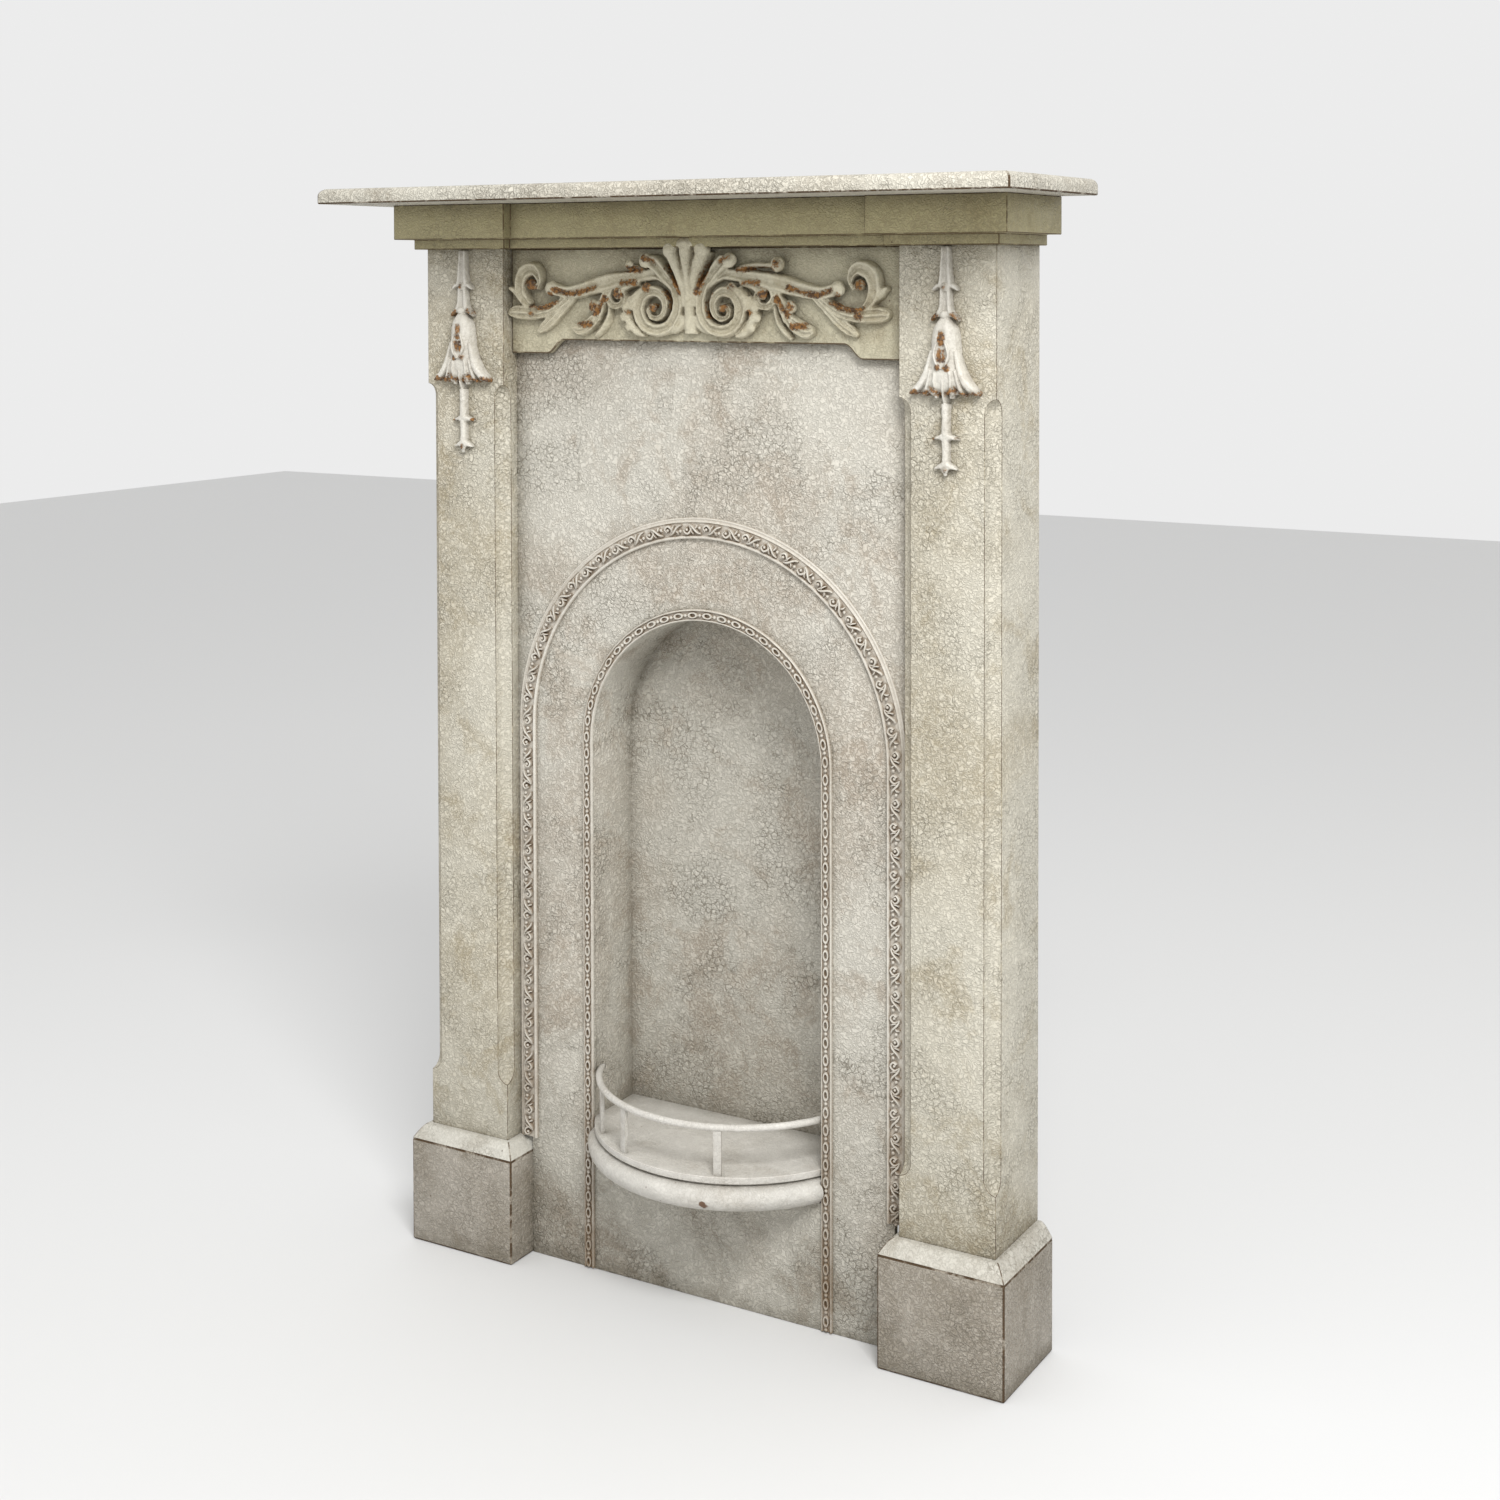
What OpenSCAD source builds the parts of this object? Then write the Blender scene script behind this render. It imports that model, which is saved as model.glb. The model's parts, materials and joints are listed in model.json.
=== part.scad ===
/* [Shelf] */
// Overhang of the shelf beyond the frieze at each end
shelf_over = 37.5; // [20:0.5:90]
// Depth of the shelf from the wall to its front edge
shelf_d = 210; // [170:2:280]
// Thickness of the shelf
shelf_t = 16; // [12:1:28]
// Rounding of the shelf's upper edge
shelf_round = 8; // [4:1:10]

/* [Frieze] */
// Projection of the frieze's ends beyond the pilasters' outer flanks
frieze_side = 23; // [12:0.5:40]
// Height of the frieze
frieze_h = 37; // [25:1:70]
// Projection of each end block beyond its pilaster's inner flank
block_side = 22.5; // [13:0.5:40]
// Projection of the end blocks beyond the pilasters' fronts
block_out = 29; // [22:0.5:45]
// Projection of the frieze between the blocks beyond the frieze board
frieze_mid_out = 31.5; // [24:0.5:34]

/* [Bed strip under the frieze] */
// Projection of the strip's ends beyond the pilasters' outer flanks
bed_end = 8; // [4:0.5:11]
// Height of the strip
bed_h = 10.5; // [6:0.5:20]
// Projection of each break beyond its pilaster's inner flank
bed_side = 11; // [7:0.5:12]
// Projection of the breaks beyond the pilasters' fronts
bed_out = 13; // [7:0.5:18]
// Projection of the strip between the breaks beyond the frieze board
bed_mid_out = 17.5; // [14:0.5:20]

/* [Pilasters] */
// Height of each pilaster
pilaster_h = 960; // [800:5:1300]
// Width over both pilasters
pilaster_span = 675; // [562:0.5:900]
// Width of each pilaster
pilaster_w = 102; // [80:0.1:124]
// Projection of the pilasters from the wall
pilaster_d = 101.5; // [84:0.1:150]
// Width of the hollow chamfer on each face
cove_w = 12.4; // [8:0.1:16]
// Radius of the hollow of the chamfer
cove_r = 14; // [13:0.5:20]
// Plain length above the chamfer's upper stop
cove_above = 145; // [60:1:300]
// Plain length below the chamfer's lower stop
cove_below = 60; // [20:1:200]
// Thickness of the cast walls
wall_t = 6; // [4:0.5:8]

/* [Plinths] */
// Height of the plinth blocks
plinth_h = 111.5; // [80:0.5:180]
// Projection of plinth and cap beyond the pilaster
plinth_out = 16; // [10:0.5:20]
// Wall of the plinth blocks
plinth_wall = 10; // [8:0.5:14]
// Height of the cap moulding
cap_h = 15; // [8:0.5:30]
// Flat ledge on top of the cap moulding
cap_ledge = 4; // [2:0.5:8]
// Roundness of the cap's face, 1 is a plain slope
cap_swell = 0.7; // [0.4:0.05:1]

/* [Register panel and niche] */
// Set-back of the panel's face behind the pilasters' fronts
panel_set = 23.5; // [16:0.5:30]
// Thickness of the panel
panel_t = 6; // [4:0.5:8]
// Clear width of the arched niche
niche_w = 276; // [220:0.2:340]
// Height of the niche arch's spring line
niche_spring = 566; // [420:1:680]
// Wall of the niche
niche_wall = 5; // [3:0.5:8]
// Gap between pieces that are let into each other
fit = 0.3; // [0.2:0.1:0.6]

/* [Arch mouldings] */
// Width of the beaded strip round the niche
bead_w = 12; // [8:0.5:20]
// Height of the beaded strip off the panel
bead_h = 5; // [3:0.5:6]
// Gap between the outer arch moulding and the pilasters
arch_gap = 2; // [1:0.5:10]
// Height of the outer arch's spring line above the niche's
arch_lift = 11; // [0:1:40]
// Width of the outer arch moulding
arch_band = 22; // [12:0.5:22]
// Height of the outer arch moulding off the panel
arch_h = 7; // [4:0.5:10]

/* [Frieze board] */
// Thickness of the board
board_t = 9; // [6:0.5:12]
// Depth of the board between its ears
board_drop = 96.5; // [80:0.5:130]
// Further drop of the ears at both ends
ear_drop = 14.5; // [6:0.5:30]
// Width of each ear
ear_w = 46.5; // [30:0.5:80]
// Width of the curve between ear and middle
ear_curve = 21; // [10:0.5:40]

/* [Hob] */
// Height of the hob's top above the floor
hob_top = 164; // [150:1:260]
// Reach of the hob plate's radius beyond the niche's half width
hob_out = 20; // [14:0.5:30]
// Projection of the nosing beyond the plate's edge
nosing_out = 7; // [4:0.5:16]
// Height of the half-round nosing
nosing_h = 26; // [14:1:40]
// Height of the square lip above the nosing
lip_h = 9; // [5:0.5:16]
// Thickness of the hob plate
hob_t = 8; // [5:0.5:12]

/* [Hob rail] */
// Diameter of the rail
rail_d = 7; // [5:0.5:10]
// Gap from the rail's centre line to the niche's side at the panel's face
rail_side = 6.4; // [5:0.1:12]
// Height of the rail's centre over the hob
rail_up = 48; // [30:1:80]
// Width of a flat baluster
bar_w = 8; // [5:0.5:10]
// Thickness of a flat baluster
bar_t = 3.5; // [2:0.5:5]

/* [Ornament] */
// Mean gap between the scrollwork's tips and the pilasters
scroll_gap = 9; // [8:0.5:30]
// Set-off of the scrollwork from the centre line, where it was fixed a little to the left
scroll_off = -6; // [-6:0.5:6]
// Greatest relief of the scrollwork off the board
scroll_relief = 13; // [8:0.5:17]
// Greatest relief of the bellflowers
drop_relief = 15; // [8:0.5:18]

/* [Hidden] */
$fn = 96;
// Levels above the floor
cap_top = plinth_h + cap_h;
bed_z = cap_top + pilaster_h;
frieze_z = bed_z + bed_h;
shelf_z = frieze_z + frieze_h;
rail_z = hob_top + rail_up;
arch_spring = niche_spring + arch_lift;
hob_bottom = hob_top - lip_h - nosing_h;
// Depths from the wall to each front
panel_d = pilaster_d - panel_set;
board_d = panel_d + board_t;
block_d = pilaster_d + block_out;
frieze_mid_d = board_d + frieze_mid_out;
bed_block_d = pilaster_d + bed_out;
bed_mid_d = board_d + bed_mid_out;
niche_back = niche_wall;
// Half widths from the centre line
pil_out = pilaster_span / 2;
pil_in = pil_out - pilaster_w;
plinth_in = pil_in - plinth_out;
pil_x = (pil_out + pil_in) / 2;
plinth_w = pilaster_w + 2 * plinth_out;
niche_r = niche_w / 2;
arch_r = pil_in - arch_gap - arch_band;
// Full widths of the frieze, its strip and the shelf
frieze_w = pilaster_span + 2 * frieze_side;
block_w = frieze_side + pilaster_w + block_side;
bed_w = pilaster_span + 2 * bed_end;
bed_block_w = bed_end + pilaster_w + bed_side;
shelf_w = frieze_w + 2 * shelf_over;
// Radii about the middle of the wall line
hob_r = niche_r + hob_out;
nosing_r = hob_r + nosing_out;
rail_r = norm([niche_r - rail_side, panel_d]);
// Centre of the hollow chamfer outside the corner, from its width on each face
cove_off = (sqrt(2 * pow(cove_r, 2) - pow(cove_w, 2)) - cove_w) / 2;
cove_deep = cove_r - cove_off * sqrt(2);
inner_cut = sqrt(2) * (cove_deep + wall_t - 1) - 2 * wall_t;
// Angles of the rail's balusters and of its ends, from the middle of the front
bar_angles = [-44, -22, 21];
rail_end = acos((panel_d * 0.66) / rail_r);
over = 1;

// Everything is placed by its distance from the wall, which is the back plane
module from_wall() translate([0, shelf_d / 2, 0]) children();

// A slab of a flat outline, standing up, from depth d forward by h
module upright(d, h) translate([0, -d, 0]) rotate([90, 0, 0]) linear_extrude(h) children();

// A box by half width, depths from the wall and levels
module block(x0, x1, d0, d1, z0, z1)
    translate([x0, -d1, z0]) cube([x1 - x0, d1 - d0, z1 - z0]);

// Shelf: a flat board whose front and end edges are rounded above
function round_top(w, t, r) = concat([[w, 0]],
    [for (a = [0:9:90]) [w - r + r * cos(a), t - r + r * sin(a)]]);
// An outline given for the right half only, closed by its mirror image
function both(pts) = concat(pts, [for (i = [len(pts) - 1:-1:0]) [-pts[i][0], pts[i][1]]]);
module mantel_shelf() color("antiquewhite") from_wall() intersection() {
    translate([-shelf_w / 2, 0, shelf_z]) rotate([90, 0, 90]) linear_extrude(shelf_w)
        mirror([1, 0]) polygon(concat([[0, 0]], round_top(shelf_d, shelf_t, shelf_round), [[0, shelf_t]]));
    translate([0, over, shelf_z]) rotate([90, 0, 0]) linear_extrude(shelf_d + 2 * over)
        polygon(both(round_top(shelf_w / 2, shelf_t, shelf_round)));
}

// Frieze: an open-backed casting that breaks forward over both pilasters
function broken_plan(w, bw, bd, md, cut) = [[-w / 2 + cut, over * (cut > 0 ? 1 : 0)], [-w / 2 + cut, -bd + cut],
    [-w / 2 + bw - cut, -bd + cut], [-w / 2 + bw - cut, -md + cut], [w / 2 - bw + cut, -md + cut],
    [w / 2 - bw + cut, -bd + cut], [w / 2 - cut, -bd + cut], [w / 2 - cut, over * (cut > 0 ? 1 : 0)]];
module frieze() color("wheat") from_wall() difference() {
    union() {
        translate([0, 0, bed_z]) linear_extrude(bed_h)
            polygon(broken_plan(bed_w, bed_block_w, bed_block_d, bed_mid_d, 0));
        translate([0, 0, frieze_z]) linear_extrude(frieze_h)
            polygon(broken_plan(frieze_w, block_w, block_d, frieze_mid_d, 0));
    }
    translate([0, 0, bed_z + wall_t]) linear_extrude(bed_h)
        polygon(broken_plan(bed_w, bed_block_w, bed_block_d, bed_mid_d, wall_t));
    translate([0, 0, frieze_z + wall_t]) linear_extrude(frieze_h)
        polygon(broken_plan(frieze_w, block_w, block_d, frieze_mid_d, wall_t));
}

// Hollow chamfer with a round stop at each end, to be cut from a corner
module cove_cut() {
    z0 = cap_top + cove_below + cove_r;
    z1 = bed_z - cove_above - cove_r;
    translate([0, 0, z0]) cylinder(r = cove_r, h = z1 - z0);
    translate([0, 0, z0]) sphere(r = cove_r);
    translate([0, 0, z1]) sphere(r = cove_r);
}

// Pilaster: a cast trough, open behind, with a stopped hollow chamfer on both front corners
module pilaster(side) from_wall() translate([side * pil_x, 0, cap_top]) difference() {
    block(-pilaster_w / 2, pilaster_w / 2, 0, pilaster_d, 0, pilaster_h);
    translate([0, 0, -over]) linear_extrude(pilaster_h + 2 * over) polygon([
        [-pilaster_w / 2 + wall_t, over], [-pilaster_w / 2 + wall_t, -pilaster_d + wall_t + inner_cut],
        [-pilaster_w / 2 + wall_t + inner_cut, -pilaster_d + wall_t],
        [pilaster_w / 2 - wall_t - inner_cut, -pilaster_d + wall_t],
        [pilaster_w / 2 - wall_t, -pilaster_d + wall_t + inner_cut], [pilaster_w / 2 - wall_t, over]]);
    for (s = [-1, 1])
        translate([s * (pilaster_w / 2 + cove_off), -pilaster_d - cove_off, -cap_top]) cove_cut();
}
module pilaster_left() color("ivory") pilaster(-1);
module pilaster_right() color("ivory") pilaster(1);

// Plinth: a square block, hollow from behind and below
module plinth(side) from_wall() translate([side * pil_x, 0, 0]) difference() {
    block(-plinth_w / 2, plinth_w / 2, 0, pilaster_d + plinth_out, 0, plinth_h);
    block(-plinth_w / 2 + plinth_wall, plinth_w / 2 - plinth_wall, -over,
        pilaster_d + plinth_out - plinth_wall, -over, plinth_h - plinth_wall);
}
module plinth_left() color("ivory") plinth(-1);
module plinth_right() color("ivory") plinth(1);

// Cap moulding: a ledge over a swelling slope, on the front and both flanks
function cap_edge(w) = [for (i = [0:12]) [
    w + cap_ledge + (plinth_out - cap_ledge) * pow(1 - i / 12, cap_swell), cap_h * i / 12]];
module plinth_cap(side) from_wall() translate([side * pil_x, 0, plinth_h]) intersection() {
    translate([-plinth_w, 0, 0]) rotate([90, 0, 90]) linear_extrude(2 * plinth_w)
        mirror([1, 0]) polygon(concat([[0, 0]], cap_edge(pilaster_d), [[0, cap_h]]));
    translate([0, over, 0]) rotate([90, 0, 0]) linear_extrude(2 * pilaster_d)
        polygon(both(cap_edge(pilaster_w / 2)));
}
module plinth_cap_left() color("linen") plinth_cap(-1);
module plinth_cap_right() color("linen") plinth_cap(1);

// An upright tunnel with a round head, half width r, from z0 to the spring line
module tunnel(r, spring, z0, d, h) {
    block(-r, r, d, d + h, z0, spring);
    translate([0, -d, spring]) rotate([90, 0, 0]) cylinder(r = r, h = h, $fn = 180);
}

// Register panel: the back plate with its arched niche in one casting
module register_panel() color("cornsilk") from_wall() difference() {
    union() {
        block(-pil_in + fit, pil_in - fit, panel_d - panel_t, panel_d, 0, bed_z);
        tunnel(niche_r + niche_wall, niche_spring, 0, 0, panel_d - panel_t / 2);
    }
    tunnel(niche_r, niche_spring, hob_bottom, niche_back, panel_d);
    block(-niche_r, niche_r, -over, panel_d - panel_t, -over, hob_bottom);
    for (s = [-1, 1]) translate([s * pil_x, 0, 0])
        block(-plinth_w / 2 - fit, plinth_w / 2 + fit, -over, panel_d + over, -over, cap_top);
    translate([0, 0, rail_z]) rail_ring(rail_d + 2 * fit, 90);
}

// Frieze board: an apron whose lower edge steps down in a curve at both ends
function ear_edge(x) = (1 - cos(180 * x)) / 2;
module frieze_board() color("bisque") from_wall() translate([0, 0, bed_z]) upright(panel_d, board_t) {
    e0 = pil_in - fit - ear_w;
    polygon(both(concat([[pil_in - fit, 0], [pil_in - fit, -board_drop - ear_drop]],
        [for (i = [0:12]) [e0 - ear_curve * i / 12, -board_drop - ear_drop * (1 - ear_edge(i / 12))]])));
}

// Outlines of the carving: a bowed pointed leaf, and a band that follows a spiral
function leaf_w(t) = pow(sin(180 * t), 0.8) * (1.15 - 0.4 * t);
function leaf_pts(l, w, bow, n = 8) = concat(
    [for (i = [0:n]) [l * i / n, bow * 4 * (i / n) * (1 - i / n) + w / 2 * leaf_w(i / n)]],
    [for (i = [n - 1:-1:1]) [l * i / n, bow * 4 * (i / n) * (1 - i / n) - w / 2 * leaf_w(i / n)]]);
function coil_r(t, r0, r1) = r0 + (r1 - r0) * t;
function coil_pts(r0, r1, a0, a1, w, n = 30) = concat(
    [for (i = [0:n]) let (t = i / n, a = a0 + (a1 - a0) * t, r = coil_r(t, r0, r1) + w / 2)
        [r * cos(a), r * sin(a)]],
    [for (i = [n:-1:0]) let (t = i / n, a = a0 + (a1 - a0) * t, r = coil_r(t, r0, r1) - w / 2)
        [r * cos(a), r * sin(a)]]);
// A crowned leaf: a full outline below and a slim ridge above
module leaf(x, z, turn, l, w, h, bow = 0) translate([x, 0, z]) rotate([0, -turn, 0]) hull() {
    upright(0, h * 0.45) polygon(leaf_pts(l, w, bow));
    translate([l * 0.1, 0, 0]) upright(0, h) polygon(leaf_pts(l * 0.75, w * 0.3, bow));
}
module coil(x, z, r0, r1, a0, a1, w, h) translate([x, 0, z])
    upright(0, h) polygon(coil_pts(r0, r1, a0, a1, w));
module boss(x, z, r, h) translate([x, 0, z]) rotate([90, 0, 0]) cylinder(r = r, h = h, $fn = 24);

// Leaves and stems of one side of the scrollwork: place, turn, length, width and bow of each
scroll_leaves = [
    [9, -94, 80, 78, 16, -7], [26, -36, 12, 76, 8, 5], [50, -28, -10, 122, 14, 8], [140, -47, 24, 30, 12, -3],
    [90, -34, -114, 30, 11, 4], [96, -36, -84, 60, 14, -3], [98, -40, -58, 58, 13, -7], [104, -38, -100, 34, 9, 2],
    [132, -42, -45, 70, 12, 3], [146, -54, -12, 54, 12, -4], [186, -62, 34, 46, 14, 3], [160, -60, -12, 66, 14, -5],
    [172, -64, -36, 28, 12, 1]];
// Lobes of the palmette in the middle: turn, length and width of each
palm_lobes = [[90, 101, 22], [76, 92, 18], [104, 92, 18], [24, 30, 14], [156, 30, 14], [-20, 24, 12], [200, 24, 12]];
palm_z = -92;
// Half width that the list draws, and its stretch to the room between the pilasters
scroll_half_w = 226.5;
scroll_fit = (pil_in - scroll_gap) / scroll_half_w;
module scroll_half() {
    coil(41, -64, 37, 6, 50, 700, 8, scroll_relief - 2);
    boss(41, -64, 6, scroll_relief);
    boss(101, -18, 6.5, scroll_relief - 2);
    boss(82, -56, 6, scroll_relief - 3);
    coil(190, -38, 22, 6, -100, 400, 8, scroll_relief - 1);
    boss(190, -38, 5, scroll_relief - 3);
    for (i = [0:len(scroll_leaves) - 1]) let (p = scroll_leaves[i])
        leaf(p[0], p[1], p[2], p[3], p[4], scroll_relief - 7 + (i % 3) * 1.3, p[5]);
}

// Scrollwork: one carved piece on the board, its palmette curling over the bed strip
module scroll_ornament() color("burlywood") from_wall() translate([scroll_off, -board_d, bed_z])
    scale([scroll_fit, 1, 1]) {
    curl_d = bed_mid_d - board_d + fit;
    curl_z = -12;
    curl_r = 11;
    curl_t = 7;
    difference() {
        union() {
            scroll_half();
            mirror([1, 0, 0]) scroll_half();
            for (i = [0:len(palm_lobes) - 1]) let (p = palm_lobes[i])
                leaf(0, palm_z, p[0], p[1], p[2], scroll_relief - 1 + (i % 3) * 1.1);
            boss(0, palm_z, 9, scroll_relief);
            boss(0, curl_z, 12, curl_d + curl_t);
            translate([0, -curl_d, 0]) boss(0, curl_z + curl_r, curl_r, curl_t);
        }
        block(-2 * pil_in, 2 * pil_in, -over, curl_d, 0, bed_h + over);
    }
}

// Bellflower drop: husks on a stem, a wide bell and two small buds, each a flat-backed casting
husks = [[-38, 30, 11], [-66, 34, 14]];
buds = [[-184, 30, 12], [-214, 22, 10]];
module bellflower(side) from_wall() translate([side * pil_x, -pilaster_d, bed_z]) {
    block(-2.5, 2.5, 0, drop_relief - 5, -206, 0);
    for (h = husks) {
        leaf(0, h[0] + 24, -78, h[1], h[2], drop_relief - 3, -2);
        leaf(0, h[0] + 24, -102, h[1], h[2], drop_relief - 3, 2);
        boss(0, h[0] + 20, h[2] / 2 - 1, drop_relief - 1);
    }
    for (a = [-68, -79, -90, -101, -112])
        leaf(0, -66, a, 88 - abs(a + 90) * 0.25, 20, drop_relief - abs(a + 90) / 8, (a + 90) / 6);
    coil(0, -104, 19, 17, 200, 340, 5, drop_relief - 2);
    for (b = buds) {
        leaf(0, b[0] + 26, -70, b[1], b[2] * 0.7, drop_relief - 4, 2);
        leaf(0, b[0] + 26, -110, b[1], b[2] * 0.7, drop_relief - 4, -2);
        leaf(0, b[0] + 26, -90, b[1] + 6, b[2], drop_relief - 2);
    }
}
module bellflower_left() color("burlywood") bellflower(-1);
module bellflower_right() color("burlywood") bellflower(1);

// An arched strip: straight legs and a half ring of one section, lying on the panel
module arch_strip(r, spring, z0, section) {
    translate([0, -panel_d, spring]) rotate([90, 0, 0]) rotate_extrude(angle = 180, $fn = 180)
        translate([r, 0]) polygon(section);
    for (s = [0, 1]) mirror([s, 0, 0]) translate([r, -panel_d, z0])
        linear_extrude(spring - z0) mirror([0, 1]) polygon(section);
}

// Outer arch moulding: a raised band between two fillets, standing on the plinth caps
module arch_moulding() color("tan") from_wall()
    arch_strip(arch_r, arch_spring, cap_top, [[0, 0], [0, arch_h - 4], [3.5, arch_h - 3], [3.5, arch_h - 1],
        [6, arch_h], [12, arch_h], [14.5, arch_h - 1], [14.5, arch_h - 3], [18, arch_h - 4],
        [arch_band, arch_h - 5], [arch_band, 0]]);

// Beaded strip: a half-round fillet round the niche, down to the foot of the panel
module arch_bead() color("tan") from_wall()
    arch_strip(niche_r, niche_spring, over, concat([[0, 0]],
        [for (a = [180:-15:0]) [bead_w / 2 + bead_w / 2 * cos(a), 1 + (bead_h - 1) * sin(a)]], [[bead_w, 0]]));

// Hob: a half-round plate let into the niche, with a lip, a groove and a half-round nosing
module hob() color("floralwhite") from_wall() difference() {
    core = nosing_r - nosing_h / 2;
    rotate_extrude(angle = -180, $fn = 180) polygon(concat([[0, hob_top], [0, hob_top - hob_t],
        [core - 14, hob_top - hob_t], [core - 14, hob_bottom]],
        [for (a = [-90:9:90]) [core + nosing_h / 2 * cos(a), hob_bottom + nosing_h / 2 * (1 + sin(a))]],
        [[hob_r - 4, hob_bottom + nosing_h], [hob_r - 4, hob_bottom + nosing_h + 2],
        [hob_r, hob_bottom + nosing_h + 2.5], [hob_r, hob_top - 1], [hob_r - 1, hob_top]]));
    block(-nosing_r - over, nosing_r + over, -over, niche_back + fit, hob_bottom - over, hob_top + over);
    for (s = [-1, 1]) translate([s * (nosing_r + niche_r - fit), 0, 0])
        block(-nosing_r, nosing_r, -over, panel_d + bead_h + fit, hob_bottom - over, hob_top + over);
}

// Part of a horizontal ring about the middle of the wall line
module rail_ring(d, reach) rotate([0, 0, -90 - reach])
    rotate_extrude(angle = 2 * reach, $fn = 180) translate([rail_r, 0]) circle(d = d, $fn = 32);

// Hob rail: a round bar bent to the hob's curve, on flat balusters
module hob_rail() color("gainsboro") from_wall() {
    translate([0, 0, rail_z]) rail_ring(rail_d, rail_end);
    for (a = bar_angles) rotate([0, 0, a]) block(-bar_w / 2, bar_w / 2, rail_r - bar_t / 2, rail_r + bar_t / 2,
        hob_top, rail_z);
}

mantel_shelf();
frieze();
pilaster_left();
pilaster_right();
plinth_left();
plinth_right();
plinth_cap_left();
plinth_cap_right();
register_panel();
frieze_board();
scroll_ornament();
bellflower_left();
bellflower_right();
arch_moulding();
arch_bead();
hob();
hob_rail();
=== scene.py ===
import json
import math
import bpy
import numpy as np
from mathutils import Matrix, Vector, noise

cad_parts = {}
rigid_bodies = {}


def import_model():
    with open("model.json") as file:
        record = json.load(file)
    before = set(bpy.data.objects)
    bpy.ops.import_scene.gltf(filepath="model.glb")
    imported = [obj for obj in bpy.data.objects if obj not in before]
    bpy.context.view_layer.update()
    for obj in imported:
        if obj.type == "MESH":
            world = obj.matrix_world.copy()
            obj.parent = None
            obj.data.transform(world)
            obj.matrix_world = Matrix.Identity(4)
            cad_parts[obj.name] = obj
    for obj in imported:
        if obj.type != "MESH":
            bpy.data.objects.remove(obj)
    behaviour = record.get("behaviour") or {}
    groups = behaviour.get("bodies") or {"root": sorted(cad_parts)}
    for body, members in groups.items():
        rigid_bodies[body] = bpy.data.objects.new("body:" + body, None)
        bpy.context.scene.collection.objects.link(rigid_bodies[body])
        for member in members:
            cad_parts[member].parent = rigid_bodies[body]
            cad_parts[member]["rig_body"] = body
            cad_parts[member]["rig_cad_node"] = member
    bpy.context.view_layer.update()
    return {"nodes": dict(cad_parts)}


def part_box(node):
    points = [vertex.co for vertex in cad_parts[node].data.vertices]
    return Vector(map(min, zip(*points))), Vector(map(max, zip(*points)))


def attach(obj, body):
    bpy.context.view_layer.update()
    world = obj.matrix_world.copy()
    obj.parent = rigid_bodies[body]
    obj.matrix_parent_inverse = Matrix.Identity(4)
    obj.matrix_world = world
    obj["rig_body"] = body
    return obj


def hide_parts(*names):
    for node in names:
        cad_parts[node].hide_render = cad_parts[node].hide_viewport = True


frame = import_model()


# ---------------------------------------------------------------------------------------------
# Plinths. Two cast-iron blocks stand on the floor and carry the pilasters.
# They are plain castings under many coats of cream paint, greyer and dirtier near the floor.
# ---------------------------------------------------------------------------------------------
MM = 0.001


def pick(obj):
    """Selects one object only and makes it the active one."""
    bpy.ops.object.select_all(action="DESELECT")
    obj.select_set(True)
    bpy.context.view_layer.objects.active = obj
    return obj


def apply_modifier(obj, kind, **settings):
    """Adds one modifier to the object and applies it."""
    pick(obj)
    modifier = obj.modifiers.new(kind.title(), kind)
    for key, value in settings.items():
        setattr(modifier, key, value)
    bpy.ops.object.modifier_apply(modifier=modifier.name)
    return obj


def casting_copy(node, name, arris, sharp):
    """A merged copy of a casting's form, with its arrises rounded as thick paint rounds them."""
    piece = frame["nodes"][node].copy()
    piece.data = frame["nodes"][node].data.copy()
    piece.name = piece.data.name = name
    piece.parent = None
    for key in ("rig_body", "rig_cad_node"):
        if key in piece:
            del piece[key]
    bpy.context.scene.collection.objects.link(piece)
    pick(piece)
    bpy.ops.object.mode_set(mode="EDIT")
    bpy.ops.mesh.select_all(action="SELECT")
    bpy.ops.mesh.remove_doubles(threshold=0.02 * MM)
    bpy.ops.mesh.dissolve_limited(angle_limit=math.radians(0.5))
    bpy.ops.object.mode_set(mode="OBJECT")
    piece.data.materials.clear()
    for _ in range(2):
        piece.data.materials.append(None)
    apply_modifier(piece, "BEVEL", width=arris * MM, segments=3, limit_method="ANGLE",
                   angle_limit=math.radians(sharp), harden_normals=False, material=1)
    apply_modifier(piece, "TRIANGULATE", quad_method="BEAUTY")
    # The faces that round an arris carry the mark that the paint wears by
    rounded = [float(face.material_index == 1) for face in piece.data.polygons]
    piece.data.attributes.new("arris", "FLOAT", "FACE").data.foreach_set("value", rounded)
    piece.data.polygons.foreach_set("material_index", [0] * len(rounded))
    pick(piece)
    bpy.ops.object.shade_smooth_by_angle(angle=math.radians(30))
    return piece


def stand_for(piece, node):
    """The finished piece rides on the only body and stands for that casting."""
    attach(piece, "root")
    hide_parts(node)


def srgb(red, green, blue):
    """A colour given in display values from 0 to 255."""
    values = [channel / 255 for channel in (red, green, blue)]
    linear = [v / 12.92 if v < 0.04045 else ((v + 0.055) / 1.055) ** 2.4 for v in values]
    return (*linear, 1.0)


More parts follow.
